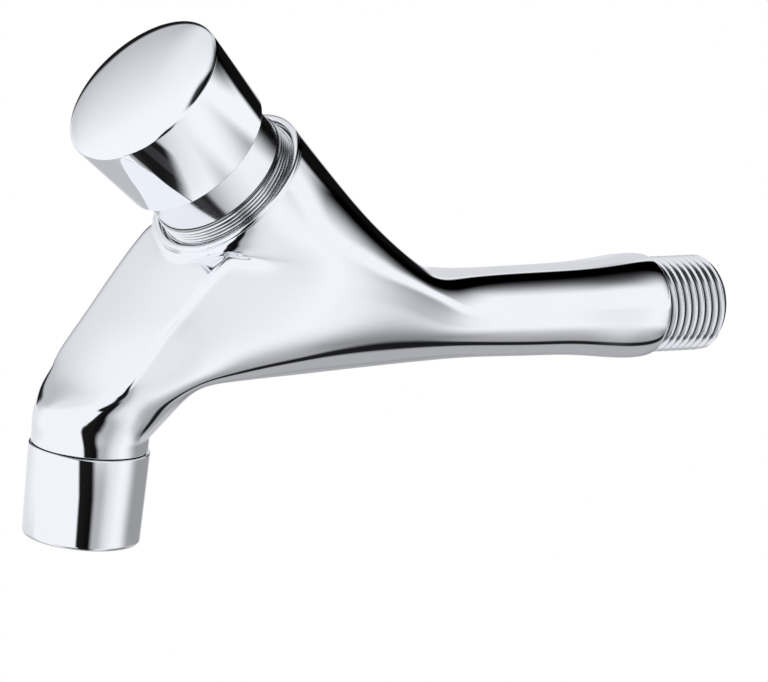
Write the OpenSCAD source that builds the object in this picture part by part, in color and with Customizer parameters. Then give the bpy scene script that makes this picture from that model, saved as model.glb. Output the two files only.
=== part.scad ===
// Wall-mounted push timed tap: press the cap and water runs until a damped
// piston lets the spring close the valve again. Millimetres, +Z up.
// The origin is on the inlet axis, in the shoulder plane where the thread
// starts; +X runs along the inlet into the wall, the spout points to -X.

/* [Inlet tail] */
// Major radius of the G 1/2 inlet thread
thread_r = 10.4775; // [8:0.0005:14]
// Length of the inlet thread from shoulder to end
thread_l = 15.5; // [10:0.5:22]
// Chamfer at the end of the thread
thread_chamfer = 1.6; // [0.5:0.1:2]
// Radius of the water way through the tail
inlet_bore_r = 6; // [4:0.1:6.5]
// Radius of the tail at its shoulder end
tail_end_r = 11.4; // [11.2:0.1:13]
// Radius of the tail at its waist
waist_r = 9.8; // [9.2:0.05:10.6]
// Distance of the waist from the shoulder
waist_x = 40; // [34:1:43]
// Radius of the rounded edge at the shoulder
shoulder_fillet = 2.6; // [1:0.1:4]

/* [Housing] */
// Tilt of the push axis from the vertical, towards the spout
tilt = 48.3; // [44:0.1:52]
// Distance from the shoulder to where the push axis meets the inlet axis
axis_x = 78.7; // [76:0.1:84]
// Height of the mouth along the push axis
mouth_w = 46.7; // [45:0.1:50]
// Outer radius of the mouth
mouth_r = 18.65; // [18.2:0.05:20]
// Depth of the machined mouth collar
collar_h = 4; // [2:0.1:6]
// Rounded edge of the mouth collar
collar_edge = 0.9; // [0.5:0.1:1.2]
// Radius of the casting below the collar
housing_r = 18.2; // [17.8:0.05:19.5]
// Depth of the belly below the inlet axis, under the housing
belly_z = 10.9; // [10.4:0.1:12]

/* [Spout] */
// Distance from the shoulder to the nozzle axis
nozzle_x = 140.9; // [136:0.1:150]
// Depth of the spout end below the inlet axis
spout_drop = 24.7; // [22:0.1:30]
// Radius of the spout at the nozzle
spout_r = 12.4; // [12.2:0.1:12.8]
// Half width of the spout's flanks beside the housing
spout_half = 17; // [16.2:0.1:17.8]
// Half width of the spout's flanks at its bend
bend_half = 14.9; // [14.2:0.1:15.6]
// Half width of the spout's flat upper face beside the mouth
ridge_half = 15.7; // [14.8:0.1:16.2]
// Half width of that face at the bend
ridge_foot_half = 14.3; // [13.4:0.1:14.6]
// Depth of the upper face below the mouth
face_drop = 2.05; // [1.8:0.05:2.6]
// Fall of the upper face per millimetre away from the mouth
face_fall = 0.06; // [0.02:0.01:0.08]
// Radius of the water way through the spout
outlet_bore_r = 4.2; // [3:0.1:5]
// Radius of the upright water way in the nozzle spigot
nozzle_way_r = 7.5; // [7:0.1:7.8]

/* [Push cap] */
// Radius of the cap at its face
cap_face_r = 18.65; // [18:0.05:20]
// Radius of the cap at the foot of its skirt
cap_foot_r = 17.1; // [16.9:0.05:18.5]
// Height of the cap from skirt foot to the rim of its face
cap_h = 18.85; // [17.5:0.05:22]
// Rise of the domed face over its rim
cap_dome = 2.6; // [1.6:0.1:3.2]
// Wall of the cap under its face
cap_top = 2.6; // [2:0.1:3.5]
// Gap between the mouth and the skirt foot at rest
cap_gap = 11.3; // [10.8:0.1:14]
// Travel of the push cap
stroke = 7; // [4:0.1:7.4]

/* [Bonnet] */
// Radius of the neck that the cap slides over
neck_r = 15.4; // [14.8:0.05:15.6]
// Radius of the bonnet's thread
bonnet_thread_r = 16; // [15.6:0.05:16.3]
// Length of bonnet thread left showing above the mouth
thread_show = 3; // [1:0.1:3.4]
// Length of thread engaged in the body
thread_in = 11; // [8:0.1:12]
// Height of the neck top above the mouth
neck_h = 19.8; // [18.5:0.1:20.2]
// Outer radius of the barrel below the thread
barrel_r = 12.9; // [12.5:0.05:13.5]
// Bore of the damping cylinder
cylinder_r = 10.5; // [9.5:0.05:10.7]
// Length of the barrel below the thread
barrel_l = 6.2; // [5.8:0.1:6.8]
// Radius of the spring well in the neck
well_r = 9.4; // [9:0.05:10.5]
// Depth of the spring well
well_h = 9; // [8.6:0.1:9.2]
// Thickness of the cylinder's roof under the stem seal
cylinder_roof = 1.5; // [1.3:0.1:1.7]
// Lip of the barrel below the plate's clip
barrel_lip = 0.5; // [0.4:0.05:0.7]
// Land between the bonnet's thread and its seal groove
groove_land = 0.9; // [0.7:0.1:1.1]
// Cord diameter of the bonnet seal
barrel_seal_d = 1.5; // [1.3:0.05:1.6]

/* [Spring] */
// Mean coil radius of the return spring
coil_r = 8; // [7.4:0.05:8.4]
// Wire diameter of the return spring
wire_d = 1.3; // [0.9:0.05:1.4]
// Number of turns in the return spring
coil_turns = 6; // [4:1:6]

/* [Stem] */
// Radius of the stem
stem_r = 3; // [2.5:0.05:3.2]
// Radius of the threaded foot of the stem
stem_foot_r = 2; // [1.6:0.05:2.2]
// Radius of the stem collar under the piston
stem_collar_r = 5; // [4:0.1:6]
// Thickness of the stem collar
stem_collar_h = 1.2; // [0.8:0.1:1.6]
// Outer radius of the stem bush
bush_r = 5; // [4.8:0.05:5.4]
// Length of the stem bush
bush_h = 3.6; // [3:0.1:4]
// Thickness of the clip over the bush
bush_clip_h = 0.8; // [0.6:0.05:1]
// Bite of that clip in its groove
bush_clip_bite = 0.35; // [0.25:0.05:0.4]
// Opening of that clip
bush_clip_gap = 2; // [1.5:0.1:3]
// Cord diameter of the stem seal
stem_seal_d = 1.9; // [1.6:0.05:1.9]
// Thickness of the lock nut under the cap
lock_nut_h = 2.8; // [2:0.1:3]
// Width of the lock nut across its flats
lock_nut_af = 10; // [9:0.1:10.5]
// Radius of the boss under the cap
boss_r = 6.4; // [6:0.1:6.6]
// Length of the boss under the cap
boss_h = 5.4; // [4:0.1:5.6]

/* [Piston] */
// Thickness of the damping piston
piston_h = 3.5; // [2.5:0.1:3.8]
// Running gap of the piston in its cylinder
piston_gap = 0.4; // [0.3:0.05:0.6]
// Height of the piston's lip seal
lip_h = 2; // [1.5:0.1:2.4]
// Thickness of the clip over the piston
piston_clip_h = 0.9; // [0.6:0.05:1]
// Bite of that clip in the stem
stem_clip_bite = 0.4; // [0.3:0.05:0.6]
// Room over the clip at rest
piston_room = 0.9; // [0.8:0.1:1]
// Thickness of the plate that closes the cylinder
plate_h = 2.5; // [2:0.1:2.8]
// Thickness of the clip under the plate
plate_clip_h = 1; // [0.8:0.05:1.2]
// Width of that clip's ring
plate_clip_ring = 1.6; // [1.2:0.1:2]
// Bite of that clip in the cylinder's wall
plate_clip_bite = 0.4; // [0.3:0.05:0.5]
// Opening of that clip
plate_clip_gap = 3; // [2:0.1:4]
// Radius of the flow holes in the plate
plate_hole_r = 1.1; // [0.8:0.05:1.4]
// Number of flow holes in the plate
plate_holes = 4; // [3:1:6]

/* [Valve] */
// Radius of the seat's flange
seat_flange_r = 11.6; // [11:0.1:12]
// Thickness of the seat's flange
seat_flange_h = 2; // [1.5:0.1:2.4]
// Radius of the seat's barrel
seat_r = 9; // [8.8:0.05:9.6]
// Length of the seat's barrel
seat_h = 5.5; // [5:0.1:6]
// Radius of the seat's orifice
orifice_r = 4.5; // [4.2:0.05:5]
// Height of the seat's sealing lip
seat_lip = 0.5; // [0.3:0.05:0.8]
// Width of that lip's flat rim
seat_rim = 0.9; // [0.6:0.1:1.2]
// Cord diameter of the seat's seal
seat_seal_d = 1.5; // [1.3:0.05:1.6]
// Room between the seat and the cylinder for the outgoing water
gallery_h = 7; // [6.5:0.1:7.4]
// Radius of the valve washer
washer_r = 6.8; // [6.4:0.05:7]
// Thickness of the valve washer
washer_h = 3; // [2.4:0.1:3.2]
// Depth of the washer in its holder
holder_grip = 2; // [1.4:0.1:2.2]
// Wall of the washer holder
holder_wall = 0.7; // [0.5:0.05:0.8]
// Floor of the washer holder
holder_floor = 3; // [2:0.1:3.2]
// Thickness of the nut that holds the washer
foot_nut_h = 2.6; // [2:0.1:2.8]
// Width of that nut across its flats
foot_nut_af = 8; // [7:0.1:9]
// Thread of the stem left showing below the nut
foot_show = 0.6; // [0.3:0.1:0.8]
// Water gap round the washer holder
holder_gap = 0.7; // [0.6:0.05:0.8]
// Water gap round its nut
nut_gap = 1; // [0.8:0.1:1.2]

/* [Nozzle] */
// Radius of the nozzle sleeve at its top
sleeve_top_r = 12.85; // [12.7:0.05:13.4]
// Radius of the nozzle sleeve at its foot
sleeve_foot_r = 12.5; // [12.3:0.05:13]
// Length of the nozzle sleeve
sleeve_h = 19.8; // [18.5:0.1:22]
// Rounded edge at the foot of the sleeve
sleeve_edge = 0.9; // [0.5:0.1:1.2]
// Radius of the spout's threaded spigot
spigot_r = 11; // [10.6:0.05:11.3]
// Length of the spout's threaded spigot
spigot_h = 8; // [7:0.1:8.6]
// Thickness of the aerator washer
aerator_washer_h = 2; // [1.5:0.1:2.2]
// Thickness of the aerator's flange
aerator_flange_h = 2; // [1.5:0.1:2.2]
// Radius of the aerator's barrel
aerator_r = 10; // [9.6:0.05:10.2]
// Set-back of the aerator from the sleeve's foot
aerator_recess = 1.4; // [1:0.1:2.4]
// Wall of the aerator's barrel
aerator_wall = 1.2; // [1:0.1:1.6]
// Radius of the eye in the aerator washer
aerator_eye_r = 8; // [7.6:0.1:8.4]
// Ledge of the aerator under its screen
aerator_ledge = 1; // [0.6:0.1:1.4]
// Depth of the aerator's outlet grid
grid_h = 2; // [1.5:0.1:2.4]
// Size of one cell of the aerator's outlet grid
grid_cell = 2.4; // [2:0.1:3]
// Width of the bars of that grid
grid_bar = 0.7; // [0.5:0.05:0.9]
// Thickness of the aerator's top screen
screen_h = 0.5; // [0.3:0.05:0.7]
// Radius of the hole in the middle of that screen
screen_eye_r = 1; // [0.6:0.1:1.5]

/* [Strainer] */
// Radius of the seat for the strainer in the thread end
strainer_seat_r = 8; // [7:0.1:8.2]
// Radius of the strainer basket
basket_r = 5.4; // [4:0.1:5.6]
// Length of the strainer basket
basket_l = 12; // [8:0.5:16]
// Wall of the strainer basket
basket_wall = 0.6; // [0.4:0.05:0.8]
// Thickness of the strainer's flange
strainer_flange_h = 1; // [0.8:0.1:1.4]
// Thickness of the strainer washer
strainer_washer_h = 1.8; // [1.4:0.1:2.2]
// Slots round the strainer basket
basket_slots = 10; // [6:1:12]
// Width of those slots
slot_w = 1.2; // [0.8:0.1:1.4]
// Solid wall left above and below the slots
slot_margin = 2; // [1.5:0.1:2.5]

/* [Fits] */
// Gap between parts that are screwed or pushed together
fit = 0.05; // [0.02:0.01:0.1]
// Gap between the stem and what guides it
run_fit = 0.06; // [0.03:0.01:0.1]
// Gap between the cap's skirt and the neck
skirt_fit = 0.4; // [0.3:0.05:0.5]
// Gap of the stem where nothing guides it
free_fit = 0.3; // [0.2:0.05:0.4]
// Extra height of a seal groove over its cord
groove_slack = 0.4; // [0.3:0.05:0.5]
// Broken edge of turned pieces
edge_break = 0.3; // [0.2:0.05:0.4]
// Gap between the valve washer and the seat at rest
seat_gap = 0.1; // [0.05:0.05:0.2]
// Room left at the ends of the travel
end_room = 0.4; // [0.3:0.1:0.5]
// Seam between the sleeve and the spout
sleeve_seam = 0.25; // [0.15:0.05:0.4]

/* [Hidden] */
$fn = 64;
eps = 0.01;
// Overrun of a cut beyond the wall that it opens
over = 1;

// Heights along the push axis, from the inlet axis up to the cap
skirt_w = mouth_w + cap_gap;
face_w = skirt_w + cap_h;
ceiling_w = face_w - cap_top;
neck_w = mouth_w + thread_show;
neck_top_w = mouth_w + neck_h;
well_w = neck_top_w - well_h;
bush_clip_w = well_w - bush_clip_h;
bush_w = bush_clip_w - bush_h;
stem_seal_w = bush_w - stem_seal_d - fit;
cylinder_top_w = stem_seal_w - cylinder_roof;
shoulder_w = mouth_w - thread_in;
barrel_w = shoulder_w - barrel_l;
plate_w = barrel_w + plate_clip_h + barrel_lip;
seat_top_w = barrel_w - gallery_h;
seat_floor_w = seat_top_w - seat_flange_h;
seat_foot_w = seat_floor_w - seat_h;
washer_w = seat_foot_w - seat_lip - seat_gap - washer_h;
holder_w = washer_w - holder_floor;
foot_nut_w = holder_w - foot_nut_h;
stem_foot_w = foot_nut_w - foot_show;
piston_clip_w = cylinder_top_w - piston_room - piston_clip_h;
lip_w = piston_clip_w - lip_h;
piston_w = lip_w - piston_h;
stem_collar_w = piston_w - stem_collar_h;
boss_w = ceiling_w - boss_h;
lock_nut_w = boss_w - lock_nut_h;

// Bores of the body along the push axis
chamber_r = barrel_r + 2 * fit;
holder_r = washer_r + fit + holder_wall;
valve_room_r = holder_r + holder_gap;
nut_room_r = foot_nut_af / 2 / cos(30) + nut_gap;
valve_room_w = holder_w - stroke - end_room;
nut_room_w = stem_foot_w - stroke - end_room;

// Nozzle levels, down from the spout's end
spout_z = -spout_drop;
spigot_z = spout_z - spigot_h;
aerator_top_z = spigot_z - aerator_washer_h;
aerator_step_z = aerator_top_z - aerator_flange_h;
sleeve_top_z = spout_z - sleeve_seam;
sleeve_foot_z = sleeve_top_z - sleeve_h;
aerator_foot_z = sleeve_foot_z + aerator_recess;

// The casting is three limbs that meet at a hub: tail, housing and spout. A limb
// is given by half sections of five points, from its upper rim over the near
// flank to its lower rim. The far half is the mirror image of the near one.
round_full = sqrt(0.5);
settle_rounds = 5;
ridge_crisp = 0.9;
up = [0, 0, 1];
wallward = [1, 0, 0];
crossward = [cos(tilt), 0, sin(tilt)];
collar_w = mouth_w - collar_h / 4;
upper_w = mouth_w - face_drop;
reach = nozzle_x - axis_x;

function mix(a, b, u) = a + (b - a) * u;

function near(p, half) = p - [0, half, 0];

function axis_point(w, m = 0) = [m * cos(tilt) - w * sin(tilt) - axis_x, 0, w * cos(tilt) + m * sin(tilt)];

// A point of the flat upper face, m across the push axis
function face_point(m, sink = 0) = axis_point(upper_w - sink + face_fall * (m + housing_r), m);

// Points beside the push axis and beside the nozzle, in radii of the limbs there
function from_axis(x, z) = [housing_r * x - axis_x, 0, waist_r * z];

function from_nozzle(x, z) = [spout_r * x - nozzle_x, 0, spout_z + housing_r * z];

// The skin between flank and rim: round_full for a round section, near 1 for a square one
function between(mid, rim, half, full) = near(mix(mid, rim, full), half * full);

function section(top, mid, low, half, top_full = round_full, low_full = round_full) =
    [top, between(mid, top, half, top_full), near(mid, half), between(mid, low, half, low_full), low];

function round_section(mid, way, r) = section(mid + r * way, mid, mid - r * way, r);

function with_corner(s, i, p) = [for (j = [0 : len(s) - 1]) j == i ? p : s[j]];

tail_flare = [[0.825, 0.075], [0.51, 0.3], [0.225, 0.955]];
shoulder_turn = [[1, 0], [0.3, 0.3], [0, 1], [0, 2]];
tail_sections = concat(
    [section(from_axis(1.03, 1.095), from_axis(0.31, 0.265), from_axis(-0.015, -1.035),
            0.78 * housing_r, 0.76, 0.74),
        section(from_axis(1.465, 1), from_axis(1.11, 0.06), from_axis(0.865, -1.005),
            0.615 * housing_r, 0.72, 0.72),
        section(from_axis(1.935, 1), from_axis(1.77, 0.01), from_axis(1.66, -0.98), 1.02 * waist_r)],
    [for (f = tail_flare) round_section([-waist_x * f.x, 0, 0], up, mix(waist_r, tail_end_r, f.y))],
    [for (f = shoulder_turn)
        round_section([-shoulder_fillet * f.x, 0, 0], up, tail_end_r - shoulder_fillet * f.y)]);

housing_sections = [
    with_corner(section(axis_point(0.33 * collar_w, 0.945 * housing_r), axis_point(0.6 * collar_w),
        axis_point(upper_w, -1.115 * housing_r), housing_r, 0.74),
        3, near(axis_point(upper_w, -0.785 * housing_r), 0.79 * housing_r)),
    with_corner(section(axis_point(0.665 * collar_w, 0.975 * housing_r), axis_point(0.81 * collar_w),
        axis_point(mix(upper_w, collar_w, 0.5), -1.05 * housing_r), housing_r),
        3, near(axis_point(mix(upper_w, collar_w, 0.5), -0.74 * housing_r), 0.74 * housing_r)),
    round_section(axis_point(collar_w), crossward, housing_r),
    round_section(axis_point(mouth_w), crossward, housing_r)];

spout_sections = [
    with_corner(section(face_point(-0.5 * reach), from_nozzle(1.765, 1.3), from_nozzle(2.72, 0.763),
        spout_half, low_full = 0.76), 1, near(face_point(-0.426 * reach, 0.022 * housing_r), ridge_half)),
    with_corner(section(face_point(-0.675 * reach), from_nozzle(1.08, 1), from_nozzle(1.8, 0.761),
        mix(spout_half, bend_half, 0.3), low_full = 0.76),
        1, near(face_point(-0.61 * reach, 0.027 * housing_r), mix(ridge_half, ridge_foot_half, 0.75))),
    with_corner(section(face_point(-0.87 * reach), from_nozzle(0.515, 0.67), from_nozzle(1.5, 0.625),
        bend_half, low_full = 0.74), 1, near(face_point(-0.82 * reach, 0.066 * housing_r), ridge_foot_half)),
    section(from_nozzle(-0.945, 0.45), from_nozzle(0.135, 0.38), from_nozzle(1.095, 0.24),
        1.055 * spout_r, 0.76, 0.72),
    round_section(from_nozzle(0, 0.155), -wallward, 1.008 * spout_r),
    round_section(from_nozzle(0, 0), -wallward, spout_r),
    round_section(from_nozzle(0, -0.16), -wallward, spout_r)];

// The hub's flank and the three arcs between limbs, each a corner and a rim
hub = from_axis(-1.06, 0.815);
crotch_top = from_axis(0.6, 1.505);
crotch_low = [hub.x + housing_r / 18, 0, -belly_z];
crotch_left = face_point(-1.21 * housing_r);
arcs = [
    [between(hub, crotch_top, 0.935 * housing_r, 0.8), crotch_top],
    [between(hub, crotch_low, housing_r, 0.76), crotch_low],
    [near(face_point(-0.85 * housing_r, 0.022 * housing_r), ridge_half), crotch_left]];

function far(p) = [p.x, -p.y, p.z];

function full_ring(s) = concat(s, [for (j = [3 : -1 : 1]) far(s[j])]);

// Cage of the skin: the hub's two flanks, the arcs, then the rings of each limb
limbs = [tail_sections, housing_sections, spout_sections];
limb_arcs = [[0, 1], [0, 2], [2, 1]];
limb_flips = [false, true, true];
hub_points = concat([near(hub, housing_r), far(near(hub, housing_r))],
    [for (a = arcs) each [a[0], far(a[0]), a[1]]]);
limb_starts = [len(hub_points), len(hub_points) + 8 * len(limbs[0]),
    len(hub_points) + 8 * (len(limbs[0]) + len(limbs[1]))];
cage_points = concat(hub_points, [for (l = limbs) each [for (s = l) each full_ring(s)]]);

function first_ring(a, b) = [a + 2, a, 0, b, b + 2, b + 1, 1, a + 1];

function limb_rings(i) = concat(
    [first_ring(2 + 3 * limb_arcs[i][0], 2 + 3 * limb_arcs[i][1])],
    [for (k = [0 : len(limbs[i]) - 1]) [for (j = [0 : 7]) limb_starts[i] + 8 * k + j]]);

function turned_face(f, flip) = flip ? [f[0], f[3], f[2], f[1]] : f;

function limb_faces(i) =
    let (rings = limb_rings(i), end = rings[len(rings) - 1])
    concat(
        [for (k = [0 : len(rings) - 2], j = [0 : 7])
            let (next = (j + 1) % 8)
            turned_face([rings[k][j], rings[k + 1][j], rings[k + 1][next], rings[k][next]], limb_flips[i])],
        [for (c = [[0, 1, 2, 3], [0, 3, 4, 7], [4, 5, 6, 7]])
            turned_face([end[c[0]], end[c[3]], end[c[2]], end[c[1]]], limb_flips[i])]);

cage_faces = [for (i = [0 : 2]) each limb_faces(i)];

function sum(v, i = 0) = i == len(v) - 1 ? v[i] : v[i] + sum(v, i + 1);

function mean(v) = sum(v) / len(v);

// Corners of the faces round each point: [face, place in that face]
function corners_of(points, faces) =
    let (all = [for (f = faces) each f])
    [for (i = [0 : len(points) - 1]) [for (c = search(i, all, 0)) [floor(c / 4), c % 4]]];

// The two ridges beside the upper face, from the mouth down to the bend
ridges = [for (side = [[3, 8, 1], [5, 9, 7]]) concat(
    [for (k = [1 : -1 : 0]) limb_starts[1] + 8 * k + side[0]], [side[1]],
    [for (k = [0 : 3]) limb_starts[2] + 8 * k + side[2]])];

// How crisp a ridge is at a share u of its length; it fades out at both ends
function crisp(u) = ridge_crisp * sin(180 * u);

// The two neighbours of a point on a ridge and how crisp it is, or none for any other point
function along(i, ridges) = [for (r = ridges)
    let (k = search(i, r), last = len(r) - 1)
    if (len(k) > 0) if (k[0] > 0 && k[0] < last) each [r[k[0] - 1], r[k[0] + 1], crisp(k[0] / last)]];

// Where the finished skin passes for each point of a cage
function skin_points(points, faces, corners, ridges) = [
    for (i = [0 : len(points) - 1])
        let (n = len(corners[i]), ends = along(i, ridges))
        let (beside = sum([for (c = corners[i]) points[faces[c[0]][(c[1] + 1) % 4]]]))
        let (across = sum([for (c = corners[i]) points[faces[c[0]][(c[1] + 2) % 4]]]))
        let (soft = (n * n * points[i] + 4 * beside + across) / (n * (n + 5)))
        len(ends) == 0 ? soft :
        mix(soft, (4 * points[i] + points[ends[0]] + points[ends[1]]) / 6, ends[2])];

// Pushes the cage out until its skin passes through the sections
function settle(points, aims, faces, corners, ridges, rounds) =
    rounds == 0 ? points :
    let (skin = skin_points(points, faces, corners, ridges))
    settle(points + aims - skin, aims, faces, corners, ridges, rounds - 1);

function edge_key(a, b, n) = min(a, b) * n + max(a, b);

// One division of every face of a cage into four: [points, faces, ridges]
function divide(points, faces, ridges) =
    let (n = len(points), corners = corners_of(points, faces))
    let (middles = [for (f = faces) mean([for (i = f) points[i]])])
    let (ways = [for (f = faces, j = [0 : 3]) f[j] * n + f[(j + 1) % 4]])
    let (edges = [for (f = faces, j = [0 : 3]) if (f[j] < f[(j + 1) % 4]) [f[j], f[(j + 1) % 4]]])
    let (keys = [for (e = edges) edge_key(e[0], e[1], n)])
    let (ridge_keys = [for (r = ridges, k = [1 : len(r) - 1]) edge_key(r[k - 1], r[k], n)])
    let (edge_points = [for (e = edges)
        let (both = points[e[0]] + points[e[1]])
        let (sides = [search(e[0] * n + e[1], ways)[0], search(e[1] * n + e[0], ways)[0]])
        let (soft = (both + middles[floor(sides[0] / 4)] + middles[floor(sides[1] / 4)]) / 4)
        let (ridge = search(edge_key(e[0], e[1], n), ridge_keys), run = len(ridges[0]) - 1)
        len(ridge) == 0 ? soft : mix(soft, both / 2, crisp((ridge[0] % run + 0.5) / run))])
    let (moved = [for (i = [0 : n - 1])
        let (c = corners[i], m = len(c), ends = along(i, ridges))
        let (about = mean([for (q = c) middles[q[0]]]))
        let (beside = mean([for (q = c) points[faces[q[0]][(q[1] + 1) % 4]]]))
        let (soft = (about + beside + (m - 2) * points[i]) / m)
        len(ends) == 0 ? soft :
        mix(soft, (6 * points[i] + points[ends[0]] + points[ends[1]]) / 8, ends[2])])
    let (edge_of = [for (f = faces) [for (j = [0 : 3])
        n + search(edge_key(f[j], f[(j + 1) % 4], n), keys)[0]]])
    [concat(moved, edge_points, middles),
        [for (i = [0 : len(faces) - 1], j = [0 : 3])
            [faces[i][j], edge_of[i][j], n + len(edges) + i, edge_of[i][(j + 3) % 4]]],
        [for (r = ridges) concat([for (k = [1 : len(r) - 1])
            each [r[k - 1], n + search(edge_key(r[k - 1], r[k], n), keys)[0]]], [r[len(r) - 1]])]];

module casting_shell() {
    corners = corners_of(cage_points, cage_faces);
    settled = settle(cage_points, cage_points, cage_faces, corners, ridges, settle_rounds);
    once = divide(settled, cage_faces, ridges);
    twice = divide(once[0], once[1], once[2]);
    points = skin_points(twice[0], twice[1], corners_of(twice[0], twice[1]), twice[2]);
    polyhedron(points, [for (f = twice[1]) each [[f[0], f[1], f[2]], [f[0], f[2], f[3]]]], convexity = 8);
}

// Helpers: a piece on the push axis, one on the inlet axis, one at the nozzle
module on_axis() {
    translate([-axis_x, 0, 0]) rotate([0, -tilt, 0]) children();
}

module on_inlet() {
    rotate([0, 90, 0]) children();
}

module at_nozzle() {
    translate([-nozzle_x, 0, 0]) children();
}

// A turned ring between two heights
module ring(outer, inner, low, high) {
    rotate_extrude() translate([inner, low]) square([outer - inner, high - low]);
}

// An O-ring of a given cord that lies round a groove floor
module o_ring(floor_r, cord, w) {
    rotate_extrude() translate([floor_r + cord / 2, w]) circle(d = cord, $fn = 32);
}

// A spring clip: a flat ring with a gap
module clip(outer, inner, low, h, gap) {
    difference() {
        ring(outer, inner, low, low + h);
        translate([0, -gap / 2, low - h]) cube([2 * outer, gap, 3 * h]);
    }
}

// A hexagon nut with its bore
module nut(af, bore, low, h) {
    difference() {
        translate([0, 0, low]) cylinder(r = af / 2 / cos(30), h = h, $fn = 6);
        translate([0, 0, low - over]) cylinder(r = bore, h = h + 2 * over);
    }
}

// A drilled way between two points of the XZ plane
module way(a, b, r) {
    d = b - a;
    translate(a) rotate([0, atan2(d.x, d.z), 0]) cylinder(r = r, h = norm(d));
}

// Corner of a turned outline, rounded by an arc about [r - f, w - f]
function corner(r, w, f) = [for (a = [0 : 15 : 90]) [r - f + f * cos(a), w - f + f * sin(a)]];

// Grooves and ways that follow from the sizes above
barrel_groove_top_w = shoulder_w - groove_land;
barrel_groove_w = barrel_groove_top_w - barrel_seal_d - groove_slack;
barrel_groove_r = chamber_r - barrel_seal_d - fit;
seat_groove_w = (seat_floor_w + seat_foot_w - seat_seal_d - groove_slack) / 2;
seat_groove_top_w = seat_groove_w + seat_seal_d + groove_slack;
seat_groove_r = seat_r - seat_seal_d;
stem_top_w = ceiling_w - 4 * fit;
strainer_x = thread_l - strainer_flange_h - strainer_washer_h - 4 * fit;
nozzle_way_z = spout_z + spout_r / 2;

module body() color("gainsboro") difference() {
    union() {
        difference() {
            casting_shell();
            on_axis() translate([0, 0, collar_w]) cylinder(r = 2 * housing_r, h = housing_r);
            at_nozzle() translate([0, 0, spout_z - housing_r]) cylinder(r = 2 * spout_r, h = housing_r);
        }
        on_axis() rotate_extrude() polygon(concat(
            [[0, mouth_w - collar_h], [mouth_r, mouth_w - collar_h]],
            corner(mouth_r, mouth_w, collar_edge), [[0, mouth_w]]));
        on_inlet() rotate_extrude() polygon([
            [0, -shoulder_fillet], [thread_r, -shoulder_fillet], [thread_r, thread_l - thread_chamfer],
            [thread_r - thread_chamfer, thread_l], [0, thread_l]]);
        at_nozzle() translate([0, 0, spigot_z]) cylinder(r = spigot_r, h = spigot_h + over);
    }
    // inlet way and the strainer's seat
    translate([-axis_x, 0, 0]) on_inlet() cylinder(r = inlet_bore_r, h = axis_x + thread_l + over);
    translate([strainer_x, 0, 0]) on_inlet() cylinder(r = strainer_seat_r, h = thread_l);
    // stepped bore for valve, seat, barrel and bonnet thread
    on_axis() {
        translate([0, 0, nut_room_w]) cylinder(r = nut_room_r, h = seat_foot_w - nut_room_w);
        translate([0, 0, valve_room_w]) cylinder(r = valve_room_r, h = seat_foot_w - valve_room_w);
        translate([0, 0, seat_foot_w - free_fit]) cylinder(r = seat_r + fit, h = seat_h + over);
        translate([0, 0, seat_floor_w]) cylinder(r = chamber_r, h = shoulder_w - seat_floor_w + over);
        translate([0, 0, shoulder_w]) cylinder(r = bonnet_thread_r + fit, h = thread_in + over);
    }
    // outgoing way to the nozzle
    way(axis_point(seat_top_w + gallery_h / 5), [-nozzle_x, 0, nozzle_way_z - over], outlet_bore_r);
    at_nozzle() translate([0, 0, spigot_z - over])
        cylinder(r = nozzle_way_r, h = nozzle_way_z - spigot_z + over);
}

module bonnet() color("gainsboro") on_axis() rotate_extrude() polygon([
    [cylinder_r, barrel_w], [barrel_r, barrel_w],
    [barrel_r, barrel_groove_w], [barrel_groove_r, barrel_groove_w],
    [barrel_groove_r, barrel_groove_top_w], [barrel_r, barrel_groove_top_w],
    [barrel_r, shoulder_w], [bonnet_thread_r, shoulder_w], [bonnet_thread_r, neck_w],
    [neck_r, neck_w], [neck_r, neck_top_w], [well_r, neck_top_w], [well_r, well_w],
    [bush_r + fit + bush_clip_bite, well_w], [bush_r + fit + bush_clip_bite, bush_clip_w],
    [bush_r + fit, bush_clip_w], [bush_r + fit, stem_seal_w],
    [stem_r + free_fit, stem_seal_w], [stem_r + free_fit, cylinder_top_w], [cylinder_r, cylinder_top_w],
    [cylinder_r, plate_w], [cylinder_r + plate_clip_bite + fit, plate_w],
    [cylinder_r + plate_clip_bite + fit, plate_w - plate_clip_h], [cylinder_r, plate_w - plate_clip_h]]);

module bonnet_o_ring() color("dimgray") on_axis()
    o_ring(barrel_groove_r + fit / 2, barrel_seal_d, (barrel_groove_w + barrel_groove_top_w) / 2);

module valve_seat() color("goldenrod") on_axis() rotate_extrude() polygon([
    [orifice_r, seat_top_w], [seat_flange_r, seat_top_w], [seat_flange_r, seat_floor_w],
    [seat_r, seat_floor_w], [seat_r, seat_groove_top_w], [seat_groove_r, seat_groove_top_w],
    [seat_groove_r, seat_groove_w], [seat_r, seat_groove_w], [seat_r, seat_foot_w],
    [orifice_r + seat_rim + seat_lip, seat_foot_w], [orifice_r + seat_rim, seat_foot_w - seat_lip],
    [orifice_r, seat_foot_w - seat_lip]]);

module seat_o_ring() color("dimgray") on_axis()
    o_ring(seat_groove_r + fit / 2, seat_seal_d, (seat_groove_w + seat_groove_top_w) / 2);

module stem_bush() color("ivory") on_axis() ring(bush_r, stem_r + run_fit, bush_w, bush_clip_w);

module stem_o_ring() color("dimgray") on_axis()
    o_ring(stem_r + run_fit, stem_seal_d, stem_seal_w + (stem_seal_d + fit) / 2);

module bush_clip() color("silver") on_axis()
    clip(bush_r + bush_clip_bite, stem_r + 2 * groove_slack, bush_clip_w, bush_clip_h, bush_clip_gap);

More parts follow.
